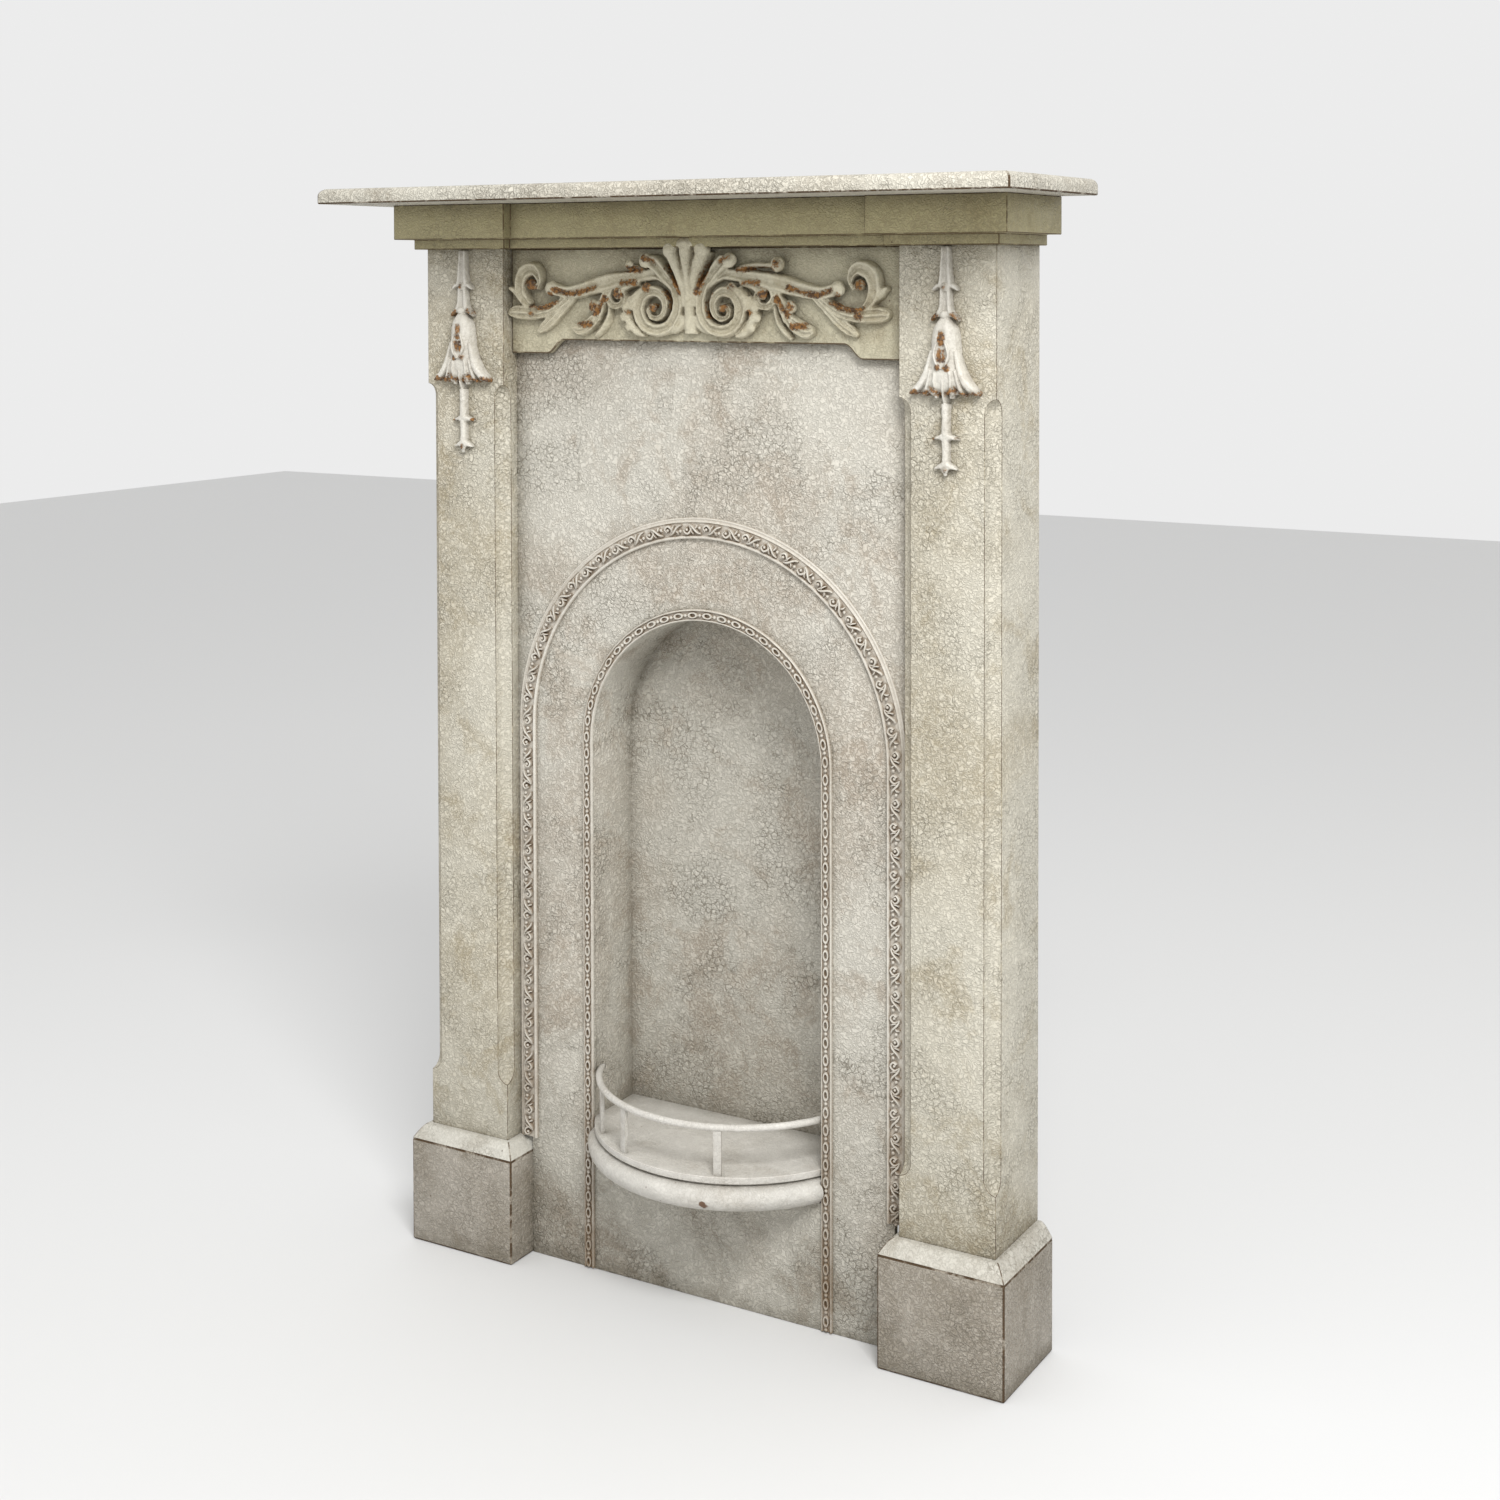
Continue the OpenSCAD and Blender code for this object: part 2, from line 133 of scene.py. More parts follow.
class Recipe:
    """A paint's node tree, built one named step at a time on Object coordinates."""

    def __init__(self, name, coat):
        self.material = bpy.data.materials.new(name)
        self.material.use_nodes = True
        self.tree = self.material.node_tree
        self.shader = self.tree.nodes["Principled BSDF"]
        self.place = self.tree.nodes.new("ShaderNodeTexCoord").outputs["Object"]
        self.colour = coat
        # Patterns that several steps share, from clouds down to the wandering creases of thick paint
        self.broad = self.noise(4.5, 2.0, 0.6, 0.5)
        self.patch = self.noise(15.0, 4.0, 0.68, 0.5)
        self.small = self.noise(75.0, 3.0, 0.65)
        wander = self.noise(235.0, 1.5, 0.6, 0.8)
        self.crease = self.maths("ABSOLUTE", self.maths("SUBTRACT", wander, 0.5))

    def put(self, socket, value):
        """Links another node's output to the socket, or sets a plain value on it."""
        if isinstance(value, bpy.types.NodeSocket):
            self.tree.links.new(value, socket)
        else:
            socket.default_value = value

    def node(self, kind, inputs=None, **settings):
        """A new node with its settings made and its inputs filled."""
        made = self.tree.nodes.new(kind)
        for key, value in settings.items():
            setattr(made, key, value)
        for key, value in (inputs or {}).items():
            self.put(made.inputs[key], value)
        return made

    def noise(self, scale, detail=2.0, rough=0.55, warp=0.0):
        """Cloudy noise from 0 to 1, its scale in clouds to a metre."""
        return self.node("ShaderNodeTexNoise", {"Vector": self.place, "Scale": scale, "Detail": detail,
                         "Roughness": rough, "Distortion": warp}).outputs["Fac"]

    def span(self, value, low, high, to_low=0.0, to_high=1.0):
        """The value's run from low to high, eased to run from to_low to to_high."""
        return self.node("ShaderNodeMapRange", {"Value": value, "From Min": low, "From Max": high,
                         "To Min": to_low, "To Max": to_high}, clamp=True,
                         interpolation_type="SMOOTHSTEP").outputs["Result"]

    def maths(self, what, a, b=0.0):
        """One step of arithmetic on two values."""
        made = self.node("ShaderNodeMath", operation=what, use_clamp=False)
        self.put(made.inputs[0], a)
        self.put(made.inputs[1], b)
        return made.outputs[0]

    def times(self, a, b):
        """The product of two values."""
        return self.maths("MULTIPLY", a, b)

    def tint(self, below, above, amount):
        """One colour laid over another, as thickly as amount says."""
        made = self.node("ShaderNodeMix", data_type="RGBA")
        self.put(made.inputs["Factor"], amount)
        self.put(made.inputs[6], below)
        self.put(made.inputs[7], above)
        return made.outputs[2]

    def cover(self, above, amount):
        """Lays a colour over all that the paint has so far."""
        self.colour = self.tint(self.colour, above, amount)

    def wandered(self, amount, scale):
        """The place, pushed about by noise, so that a pattern on it wriggles."""
        push = self.node("ShaderNodeTexNoise", {"Vector": self.place, "Scale": scale,
                         "Detail": 1.0}).outputs["Color"]
        shift = self.node("ShaderNodeVectorMath", {0: push, 1: (amount,) * 3, 2: (-amount / 2,) * 3},
                          operation="MULTIPLY_ADD").outputs[0]
        return self.node("ShaderNodeVectorMath", {0: self.place, 1: shift}, operation="ADD").outputs[0]


def mottle(m, coat, stain, grime_and_shade, blotch, skin):
    """Clouds of stain, backs of the creases rubbed pale, and grime held in the creases."""
    pale = tuple(min(1.0, channel * 1.2) for channel in coat[:3]) + (1.0,)
    m.cover(stain, m.times(m.span(m.broad, 0.4, 0.66), 0.4 * blotch))
    m.cover(stain, m.times(m.span(m.patch, 0.5, 0.66), 0.45 * blotch))
    m.cover(pale, m.times(m.span(m.small, 0.44, 0.66), 0.4))
    m.cover(pale, m.times(m.span(m.crease, 0.05, 0.16), 0.3 * skin))
    clouds = m.span(m.maths("ADD", m.broad, m.patch), 0.84, 1.16, 0.5, 1.0)
    held = m.times(m.span(m.crease, 0.0, 0.06, 1.0, 0.0), clouds)
    m.cover(grime_and_shade, m.times(held, 0.42 * skin))


def soil(m, grime_and_shade, dirt, niche_dark):
    """Dirt on the feet, which have taken the most, and soot at the back of the niche."""
    foot_top, niche_dark_start, niche_dark_full = 0.36, 0.045, 0.09
    place = m.node("ShaderNodeSeparateXYZ", {0: m.place}).outputs
    foot = m.times(m.span(place["Z"], 0.02, foot_top, 1.0, 0.0), m.span(m.patch, 0.3, 0.62, 0.4, 1.0))
    m.cover(grime_and_shade, m.times(foot, 0.38 * dirt))
    # Colour darker towards the back of the niche.
    if niche_dark:
        m.cover(grime_and_shade, m.span(place["Y"], niche_dark_start, niche_dark_full, 0.0, niche_dark))


def crackled(m, grime_and_shade, crackle):
    """A fine wandering net of hairlines in patches. Gives the net and where it lies."""
    net = m.node("ShaderNodeTexVoronoi", {"Vector": m.wandered(0.0055, 240.0), "Scale": 165.0},
                 feature="DISTANCE_TO_EDGE").outputs["Distance"]
    where_net = m.span(m.noise(10.0, 4.0, 0.7, 0.5), 0.42, 0.62)
    lines = m.times(m.span(net, 0.015, 0.11, 1.0, 0.0), where_net)
    lines = m.times(lines, m.span(m.small, 0.36, 0.6))
    m.cover(grime_and_shade, m.times(lines, 0.5 * crackle))
    return net, where_net


def dirty_hollows(m, grime_and_shade, dirt, hollow):
    """Dirt in the hollows, hollow being how far a shaded place reaches. Gives where it lies."""
    shade = m.node("ShaderNodeAmbientOcclusion", {"Distance": hollow}, samples=2).outputs["AO"]
    soiled = m.times(m.span(shade, 0.3, 0.86, 1.0, 0.0), m.span(m.small, 0.3, 0.62, 0.5, 1.0))
    m.cover(grime_and_shade, m.times(soiled, 0.66 * dirt))
    return soiled


def worn_arrises(m, stain, wear):
    """Stained along the arrises. Gives where the paint has gone from them."""
    edge = m.node("ShaderNodeAttribute", attribute_name="arris").outputs["Fac"]
    gone = m.times(edge, m.span(m.noise(38.0, 4.0, 0.75), 0.36, 0.5))
    m.cover(stain, m.times(m.times(edge, m.span(m.patch, 0.3, 0.6, 0.2, 1.0)), 0.7 * wear))
    return m.times(gone, 0.85 * wear)


def bare_marks(m, grime_and_shade, rust, gone):
    """Ragged bare iron along the marked trails. Gives its colour and where the paint has gone."""
    mark = m.node("ShaderNodeAttribute", attribute_name="rust").outputs["Fac"]
    speck = m.maths("ADD", m.noise(420.0, 3.0, 0.7), m.small)
    ragged = m.maths("ADD", mark, m.times(m.maths("SUBTRACT", speck, 1.0), 2.4))
    m.cover(grime_and_shade, m.span(mark, 0.0, 0.7, 0.0, 0.5))
    dark_rust = srgb(66, 42, 24)
    rust = m.tint(rust, dark_rust, m.span(m.noise(260.0, 2.0, 0.7), 0.42, 0.6))
    bare = m.times(m.span(ragged, 0.26, 0.72), m.span(mark, 0.0, 0.3, 0.0, 0.92))
    return rust, m.maths("MAXIMUM", gone, bare)


def chipped(m, chips, gone):
    """Single chips, each a place and a reach in metres. Gives where the paint has gone."""
    for place, reach in chips:
        measure = m.node("ShaderNodeVectorMath", {0: m.place, 1: place}, operation="DISTANCE")
        away = m.maths("DIVIDE", measure.outputs["Value"], reach)
        ragged = m.maths("ADD", away, m.times(m.small, 1.6))
        gone = m.maths("MAXIMUM", gone, m.span(ragged, 1.15, 1.4, 0.95, 0.0))
    return gone


def fleck(m, rust):
    """Pin holes and flecks of rust, one here and there."""
    dots = m.node("ShaderNodeTexVoronoi", {"Vector": m.place, "Scale": 64.0}, feature="F1").outputs
    round_dot = m.span(dots["Distance"], 0.035, 0.085, 1.0, 0.0)
    some = m.span(m.node("ShaderNodeSeparateColor", {0: dots["Color"]}).outputs[0], 0.90, 0.93)
    m.cover(rust, m.times(m.times(round_dot, some), 0.7))


def wrinkle(m, net, where_net, skin):
    """The skin of the paint: wrinkled, with the crackle cut in it."""
    deepest = 0.0026
    height = m.maths("ADD", m.times(m.span(m.crease, 0.0, 0.14), 0.3), m.times(m.small, 0.7))
    cuts = m.times(m.span(net, 0.015, 0.13, 0.3, 0.0), where_net)
    bump = m.node("ShaderNodeBump", {"Height": m.maths("SUBTRACT", height, cuts), "Distance": deepest,
                                     "Strength": 0.85 * skin})
    m.put(m.shader.inputs["Normal"], bump.outputs["Normal"])


def old_paint(name, coat, stain, grime_and_shade, rust, crackle=1.0, blotch=1.0, dirt=1.0, wear=1.0,
              gloss=0.5, hollow=0.02, skin=1.0, niche_dark=0.0, chips=(), marked=False):
    """Old oil paint on cast iron: mottled, crackled, dirty in the hollows, rusty at the arrises."""
    m = Recipe(name, coat)
    mottle(m, coat, stain, grime_and_shade, blotch, skin)
    soil(m, grime_and_shade, dirt, niche_dark)
    net, where_net = crackled(m, grime_and_shade, crackle)
    soiled = dirty_hollows(m, grime_and_shade, dirt, hollow)
    gone = worn_arrises(m, stain, wear)
    if marked:
        rust, gone = bare_marks(m, grime_and_shade, rust, gone)
    gone = chipped(m, chips, gone)
    m.cover(rust, gone)
    fleck(m, rust)
    m.put(m.shader.inputs["Base Color"], m.colour)
    wrinkle(m, net, where_net, skin)
    rough = m.maths("ADD", m.span(m.patch, 0.3, 0.7, gloss - 0.07, gloss + 0.09),
                    m.times(m.maths("MAXIMUM", soiled, gone), 0.25))
    m.put(m.shader.inputs["Roughness"], rough)
    m.shader.inputs["Specular IOR Level"].default_value = 0.42
    return m.material


def finish_casting(node, name, paint, arris, sharp=40):
    """A rounded copy of a casting in its paint, standing for the casting."""
    piece = casting_copy(node, name, arris, sharp)
    piece.data.materials.clear()
    piece.data.materials.append(paint)
    stand_for(piece, node)


# Colours that most of the paints share
STAIN = srgb(156, 145, 128)
# Grime, also the colour of the painted shade in hollows, creases and near the floor
GRIME_AND_SHADE = srgb(88, 80, 62)
RUST = srgb(76, 57, 34)

plinth_paint = old_paint("plinth_paint", srgb(178, 171, 160), srgb(148, 137, 120), GRIME_AND_SHADE, RUST,
                         crackle=0.8, dirt=1.1, wear=1.15)
for side in ("left", "right"):
    finish_casting(f"plinth_{side}", f"plinth_block_{side}", plinth_paint, arris=1.7)


# ---------------------------------------------------------------------------------------------
# Plinth caps. A moulded cap lies on each plinth block, its swelling slope turned to the front
# and both flanks. Cast apart from the block, so a dirty seam runs between the two.
# ---------------------------------------------------------------------------------------------
cap_paint = old_paint("cap_paint", srgb(206, 203, 193), STAIN, GRIME_AND_SHADE, RUST,
                      blotch=0.6, dirt=0.7, skin=0.6)
for side in ("left", "right"):
    finish_casting(f"plinth_cap_{side}", f"plinth_cap_moulding_{side}", cap_paint, arris=1.0)


# ---------------------------------------------------------------------------------------------
# Pilasters. Tall cast troughs with a stopped hollow chamfer down both front corners.
# The paint has worn to brown iron along the chamfers' edges.
# ---------------------------------------------------------------------------------------------
pilaster_paint = old_paint("pilaster_paint", srgb(198, 193, 178), srgb(164, 150, 120),
                           srgb(90, 80, 56), srgb(72, 53, 30), blotch=1.1, wear=1.18)
for side in ("left", "right"):
    finish_casting(f"pilaster_{side}", f"pilaster_casting_{side}", pilaster_paint, arris=1.7, sharp=28)


# ---------------------------------------------------------------------------------------------
# Register panel. One casting: the back plate, and the round-headed niche sunk in it.
# The paint on it is the most crackled and stained of all.
# ---------------------------------------------------------------------------------------------
panel_paint = old_paint("panel_paint", srgb(197, 193, 182), srgb(167, 152, 134), GRIME_AND_SHADE, RUST,
                        crackle=1.3, blotch=1.1, dirt=1.15, niche_dark=0.2)
finish_casting("register_panel", "register_casting", panel_paint, arris=0.8)


# ---------------------------------------------------------------------------------------------
# Frieze board. An apron fixed on the panel under the frieze, its lower edge dropping in a
# soft curve to an ear at either end.
# ---------------------------------------------------------------------------------------------
# The coat is darker than the panel's: painted shade of the shelf over the board.
board_painted_shade_paint = old_paint("board_painted_shade_paint", srgb(188, 182, 158), srgb(158, 146, 118), GRIME_AND_SHADE, RUST,
                         crackle=0.7, dirt=1.15, skin=0.7)
finish_casting("frieze_board", "frieze_apron", board_painted_shade_paint, arris=1.6)


# ---------------------------------------------------------------------------------------------
# Frieze. One casting with the bed strip under it, breaking forward over both pilasters.
# It lies in the shelf's shade and holds the most dirt; its darker coat is partly that dirt and partly
# painted shade of the shelf.
# ---------------------------------------------------------------------------------------------
# Darker coat: dirt and painted shade of the shelf.
frieze_dirt_and_shade_paint = old_paint("frieze_dirt_and_shade_paint", srgb(164, 155, 118), srgb(134, 122, 86), GRIME_AND_SHADE, RUST,
                         crackle=0.7, dirt=1.15, skin=0.7)
finish_casting("frieze", "frieze_casting", frieze_dirt_and_shade_paint, arris=0.9)


# ---------------------------------------------------------------------------------------------
# Shelf. A flat cast board with a round upper edge, chipped and rusty along its lip. It lies on
# the frieze and stands out over it at the front and at both ends.
# ---------------------------------------------------------------------------------------------
shelf_paint = old_paint("shelf_paint", srgb(195, 191, 178), STAIN, GRIME_AND_SHADE, RUST, wear=1.18)
finish_casting("mantel_shelf", "shelf_casting", shelf_paint, arris=1.6)


# ---------------------------------------------------------------------------------------------
# Outer arch moulding. A cast strip bent round the arch on the plinth caps: a smooth fillet,
# a sunk band filled with running scrolls, and a second fillet that fades into the panel.
# ---------------------------------------------------------------------------------------------
def outward(piece):
    """Turns every face of closed shells outwards."""
    pick(piece)
    bpy.ops.object.mode_set(mode="EDIT")
    bpy.ops.mesh.select_all(action="SELECT")
    bpy.ops.mesh.normals_make_consistent(inside=False)
    bpy.ops.object.mode_set(mode="OBJECT")
    return piece


def sheet(name, along, across, place, back):
    """A grid bent to place(u, v), u and v from 0 to 1, and carried back to the plane y = back(point)."""
    bpy.ops.object.select_all(action="DESELECT")
    bpy.ops.mesh.primitive_grid_add(x_subdivisions=along, y_subdivisions=across, size=2)
    piece = bpy.context.object
    piece.name = piece.data.name = name
    grid = np.empty(len(piece.data.vertices) * 3)
    piece.data.vertices.foreach_get("co", grid)
    grid = grid.reshape(-1, 3)
    bent = place((grid[:, 0] + 1) / 2, (grid[:, 1] + 1) / 2)
    piece.data.vertices.foreach_set("co", np.stack(bent, 1).ravel())
    bpy.ops.object.mode_set(mode="EDIT")
    bpy.ops.mesh.select_all(action="SELECT")
    bpy.ops.mesh.extrude_region_move(TRANSFORM_OT_translate={"value": (0, MM, 0)})
    bpy.ops.object.mode_set(mode="OBJECT")
    for vertex in piece.data.vertices:
        if vertex.select:
            vertex.co.y = back(vertex.co)
    return outward(piece)


def join(pieces, name):
    """All the pieces as one object of that name."""
    bpy.ops.object.select_all(action="DESELECT")
    for piece in pieces:
        piece.select_set(True)
    bpy.context.view_layer.objects.active = pieces[0]
    bpy.ops.object.join()
    joined = bpy.context.object
    joined.name = joined.data.name = name
    return joined


class ArchLine:
    """The line of an arched strip: up one leg, round the half circle and down the other."""

    def __init__(self, node, inner):
        low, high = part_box(node)
        self.inner, self.face, self.spring = inner, high.y, high.z - high.x
        self.leg = self.spring - low.z
        self.middle = (inner + high.x) / 2
        self.length = 2 * self.leg + math.pi * self.middle

    def at(self, s, off):
        """Places at distance s along the strip's middle, off beyond its inner edge."""
        turn = np.clip((s - self.leg) / self.middle, 0, math.pi)
        down = np.minimum(s - self.leg, 0) + np.minimum(self.length - self.leg - s, 0)
        radius = self.inner + off
        return -radius * np.cos(turn), self.spring + radius * np.sin(turn) + down

    def strip(self, name, section, in_leg=4, in_arch=96):
        """The strip itself, from a section of (offset, height) points in millimetres."""
        leg = np.linspace(0, self.leg, in_leg, endpoint=False)
        arch = self.leg + np.linspace(0, math.pi * self.middle, in_arch)
        stops = np.concatenate([leg, arch, self.length - leg[::-1]])
        offs, ups = np.array(section).T * MM

        def place(u, v):
            s = stops[np.rint(u * (len(stops) - 1)).astype(int)]
            k = np.rint(v * (len(section) - 1)).astype(int)
            x, z = self.at(s, offs[k])
            return x, self.face - ups[k], z

        return sheet(name, len(stops) - 1, len(section) - 1, place, lambda co: self.face + 0.3 * MM)

    def repeats(self, pattern, pitch, off, alternate=False):
        """Copies of a small carved pattern, each bent to its own stretch of the strip."""
        count = round(self.length / (pitch * MM))
        step = self.length / count
        made = []
        for k in range(count):
            copy = pattern.copy()
            copy.data = pattern.data.copy()
            bpy.context.scene.collection.objects.link(copy)
            points = np.empty(len(copy.data.vertices) * 3)
            copy.data.vertices.foreach_get("co", points)
            points = points.reshape(-1, 3)
            flip = -1 if alternate and k % 2 else 1
            s = np.clip((k + points[:, 0] / (pitch * MM)) * step, 0.0005, self.length - 0.0005)
            x, z = self.at(s, off * MM + flip * points[:, 2])
            bent = np.stack([x, self.face + points[:, 1], z], 1)
            copy.data.vertices.foreach_set("co", bent.ravel())
            made.append(copy)
        bpy.data.objects.remove(pattern)
        return made


def smooth_rows(rows, count):
    """Rows of numbers taken as a smooth run through each row, at count places."""
    rows = np.asarray(rows, float)
    ends = np.vstack([2 * rows[0] - rows[1], rows, 2 * rows[-1] - rows[-2]])
    t = np.linspace(0, len(rows) - 1, count)
    k = np.minimum(t.astype(int), len(rows) - 2)
    f = (t - k)[:, None]
    a, b, c, d = ends[k], ends[k + 1], ends[k + 2], ends[k + 3]
    return 0.5 * (2 * b + (c - a) * f + (2 * a - 5 * b + 4 * c - d) * f ** 2
                  + (3 * b - a - 3 * c + d) * f ** 3)


def scroll(x, z, turns):
    """Path rows of a scroll: turns are (angle in degrees, radius, half width, relief)."""
    return [(x + r * math.cos(math.radians(a)), z + r * math.sin(math.radians(a)), half, rise)
            for a, r, half, rise in turns]


SECTIONS = {
    "dome": lambda v: np.clip(1 - np.abs(v) ** 3.2, 0, 1) ** 0.62,
    "ridge": lambda v: np.clip(1 - np.abs(v) ** 1.5, 0, 1) ** 0.9,
    "channel": lambda v: (np.clip(1 - np.abs(v) ** 6, 0, 1) ** 0.7
                          * (1 - 0.36 * np.cos(math.pi * v / 2) ** 4)),
    "flutes": lambda v: (np.clip(1 - np.abs(v) ** 5, 0, 1) ** 0.7
                         * (0.83 + 0.17 * np.cos(2.7 * math.pi * v))),
}


def flat_place(x, z, rise):
    """A place on a strip laid out straight, its ground at y = 0."""
    return x * MM, -rise * MM, z * MM


def carve(rows, section="dome", put=flat_place, back=lambda co: 0.0, side=1, every=2.0, across=12):
    """A carved stroke: rows are (x, z, half width, relief) in millimetres, put gives its place."""
    run = np.asarray(rows, float)[:, :2]
    steps = max(6, int(np.linalg.norm(np.diff(run, axis=0), axis=1).sum() / every))
    path = smooth_rows(rows, steps + 1)
    way = np.gradient(path[:, :2], axis=0)
    way /= np.maximum(np.linalg.norm(way, axis=1, keepdims=True), 1e-9)

    def place(u, v):
        k = np.rint(u * steps).astype(int)
        w = 2 * v - 1
        x = path[k, 0] - way[k, 1] * path[k, 2] * w
        z = path[k, 1] + way[k, 0] * path[k, 2] * w
        return put(side * x, z, path[k, 3] * SECTIONS[section](w))

    return sheet("stroke", steps, across, place, back)


def knob(x, z, radius, rise, put=flat_place, side=1, deep=0.8, segments=16, rings=10):
    """A rolled tip or berry: a squashed ball that stands to that relief."""
    bpy.ops.object.select_all(action="DESELECT")
    bpy.ops.mesh.primitive_uv_sphere_add(segments=segments, ring_count=rings, radius=1)
    ball = bpy.context.object
    ball.name = "knob"
    for vertex in ball.data.vertices:
        dx, dy, dz = vertex.co
        vertex.co = put(side * (x + dx * radius), z + dz * radius, rise - deep * radius * (1 + dy))
    return outward(ball)


carving_paint = old_paint("carving_paint", srgb(204, 200, 190), STAIN, srgb(104, 78, 42),
                          srgb(112, 68, 32), crackle=0.5, blotch=0.6, dirt=1.5, hollow=0.006, skin=0.3)


def finish_carving(piece, paint, node):
    """Smooth shading and paint for a carved piece, standing for that casting."""
    piece.data.materials.clear()
    piece.data.materials.append(paint)
    pick(piece)
    bpy.ops.object.shade_smooth_by_angle(angle=math.radians(50))
    stand_for(piece, node)


arch = ArchLine("arch_moulding", inner=0.2115)
arch_strip = arch.strip("arch_strip", [
    (0, 0), (0, 2.4), (0.7, 3.7), (1.7, 4.0), (2.7, 3.6), (3.3, 2.6), (3.8, 1.4), (16.0, 1.4),
    (16.6, 2.2), (17.3, 2.5), (18.1, 2.0), (18.8, 1.1), (19.6, 1.0), (20.3, 1.5), (20.9, 1.5),
    (21.6, 0.8), (22, 0)])
arch_scroll = join([
    carve(scroll(6.4, 0.4, [(-70, 5.0, 1.0, 4.0), (0, 4.6, 1.6, 5.6), (80, 4.2, 1.7, 6.2),
                            (160, 3.5, 1.5, 6.2), (240, 2.4, 1.1, 6.0)]), across=4),
    carve([(8.0, -4.6, 0.9, 4.0), (11.4, -3.6, 1.6, 5.6), (15.0, -0.6, 1.8, 6.3), (18.6, 3.2, 1.5, 5.8),
           (22.6, 4.6, 0.8, 4.4)], every=2.8, across=4),
    carve([(12.0, -2.0, 0.8, 5.0), (12.0, 1.4, 1.6, 6.0), (13.8, 4.8, 0.9, 4.6)], every=2.4, across=3),
    carve([(15.6, 0.0, 0.8, 5.0), (18.0, -2.4, 1.6, 6.0), (18.4, -5.0, 0.9, 4.4)], every=2.4, across=3),
    knob(6.4, 0.4, 1.7, 6.2, segments=6, rings=4), knob(21.8, -1.6, 1.8, 6.0, segments=6, rings=4)],
    "arch_scroll")
arch_moulding = outward(join([arch_strip] + arch.repeats(arch_scroll, 23.4, 9.9, alternate=True),
                             "arch_scroll_moulding"))
finish_carving(arch_moulding, carving_paint, "arch_moulding")


# ---------------------------------------------------------------------------------------------
# Arch bead. A narrower strip cast round the niche's edge, carrying a chain of open oval rings
# with a small knot between every two.
# ---------------------------------------------------------------------------------------------
niche_line = ArchLine("arch_bead", inner=0.138)
bead_strip = niche_line.strip("bead_strip", [
    (0, 0), (0, 2.4), (0.8, 3.3), (1.6, 3.2), (2.2, 1.4), (9.6, 1.4), (10.1, 3.2), (10.9, 3.6),
    (11.7, 2.8), (12, 0)])
bpy.ops.object.select_all(action="DESELECT")
bpy.ops.mesh.primitive_torus_add(major_segments=14, minor_segments=6, major_radius=1, minor_radius=0.36)
oval_ring = bpy.context.object
for vertex in oval_ring.data.vertices:
    x, y, z = vertex.co
    vertex.co = (6.4 * MM + x * 4.7 * MM, -(2.9 + z * 4.6) * MM, y * 2.5 * MM)
bead_knot = knob(15.0, 0, 1.9, 4.8, deep=1.0, segments=8, rings=5)
bead_tie = carve([(11.8, 0, 0.8, 3.4), (15.0, 0, 1.1, 3.9), (17.4, 0, 0.8, 3.4)], every=2.4, across=3)
bead_link = join([oval_ring, bead_knot, bead_tie], "bead_link")
arch_bead = outward(join([bead_strip] + niche_line.repeats(bead_link, 17.6, 5.9), "arch_ring_bead"))
finish_carving(arch_bead, carving_paint, "arch_bead")


# ---------------------------------------------------------------------------------------------
# Hob and its fender rail. The cast shelf of the niche swells forward in a half round with a
# grooved lip, and a low rail crosses the niche above it. Their paint is smoother and paler.
# ---------------------------------------------------------------------------------------------
lip_front, lip_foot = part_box("hob")[0].y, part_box("hob")[0].z
hob_paint = old_paint("hob_paint", srgb(210, 207, 200), srgb(186, 176, 162), GRIME_AND_SHADE, srgb(96, 66, 42),
                      crackle=0.45, blotch=0.5, dirt=0.9, wear=0.7, gloss=0.42, skin=0.45,
                      chips=[((0.046, lip_front + 8 * MM, lip_foot + 9 * MM), 8 * MM),
                             ((-0.112, lip_front + 58 * MM, lip_foot + 12 * MM), 5 * MM)])
finish_casting("hob", "hob_casting", hob_paint, arris=0.8)
finish_casting("hob_rail", "hob_rail_casting", hob_paint, arris=0.8)


# ---------------------------------------------------------------------------------------------
# Scrollwork. A separate iron casting screwed on the frieze board: a palmette whose head curls
# over the bed strip, and on each side a volute, a leafy stem and a comma scroll.
# ---------------------------------------------------------------------------------------------
ornament_low, ornament_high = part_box("scroll_ornament")
ornament_middle = (ornament_low.x + ornament_high.x) / 2
bed_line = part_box("frieze")[0].z
board_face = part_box("frieze_board")[0].y
strip_face = 0.5 * MM


def on_board(x, z, rise):
    """A place on the board, x from the ornament's middle and z from the bed strip's underside."""
    return ornament_middle + x * MM, board_face - rise * MM, bed_line + z * MM


def into_board(co):
    """The back of the casting: a little way into the board, or against the bed strip above it."""
    return board_face + 0.4 * MM if co.z < bed_line - 0.3 * MM else strip_face - 0.2 * MM


